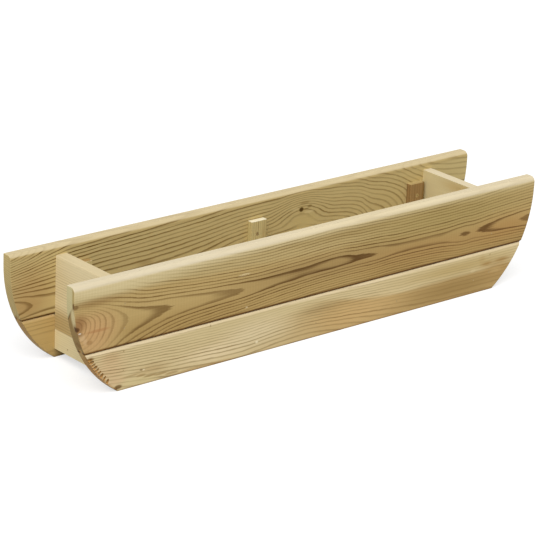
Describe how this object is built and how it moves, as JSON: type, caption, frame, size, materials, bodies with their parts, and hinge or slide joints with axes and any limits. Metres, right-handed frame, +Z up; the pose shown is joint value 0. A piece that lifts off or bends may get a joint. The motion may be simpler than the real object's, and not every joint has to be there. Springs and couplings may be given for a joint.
{
  "type": "raised garden bed",
  "caption": "Long low planting trough of treated pine boards with boat-shaped side panels, end walls set in from the ends, inner battens and a floor with a drain gap.",
  "frame": {"origin": "on the ground at the centre of the trough's length and width", "axes": "+X along the trough towards the right end as seen from the front, -Y towards the front, +Z up"},
  "size_m": [1, 0.19, 0.191],
  "materials": {
    "side_pine": "pressure-treated pine, planed, with growth rings, knots and a green tint",
    "wall_pine": "pressure-treated pine, planed, with growth rings, knots and a green tint",
    "batten_pine": "pressure-treated pine, planed, with growth rings, knots and a green tint",
    "floor_pine": "pressure-treated pine, planed, with growth rings, knots and a green tint",
    "screw_zinc": "yellow zinc plating",
    "nail_steel": "galvanised steel, dull"
  },
  "bodies": {
    "root": {"front_upper_board": "side_pine", "front_lower_board": "side_pine", "front_floor_board": "floor_pine", "front_left_batten": "batten_pine", "front_middle_batten": "batten_pine", "front_right_batten": "batten_pine", "back_upper_board": "side_pine", "back_lower_board": "side_pine", "back_floor_board": "floor_pine", "back_left_batten": "batten_pine", "back_middle_batten": "batten_pine", "back_right_batten": "batten_pine", "left_wall_upper_board": "wall_pine", "left_wall_lower_board": "wall_pine", "right_wall_upper_board": "wall_pine", "right_wall_lower_board": "wall_pine", "front_left_batten_screws": "screw_zinc", "front_middle_batten_screws": "screw_zinc", "front_right_batten_screws": "screw_zinc", "front_floor_nails": "nail_steel", "front_left_wall_nails": "nail_steel", "front_right_wall_nails": "nail_steel", "back_left_batten_screws": "screw_zinc", "back_middle_batten_screws": "screw_zinc", "back_right_batten_screws": "screw_zinc", "back_floor_nails": "nail_steel", "back_left_wall_nails": "nail_steel", "back_right_wall_nails": "nail_steel", "left_floor_nails": "nail_steel", "right_floor_nails": "nail_steel"}
  },
  "joints": []
}
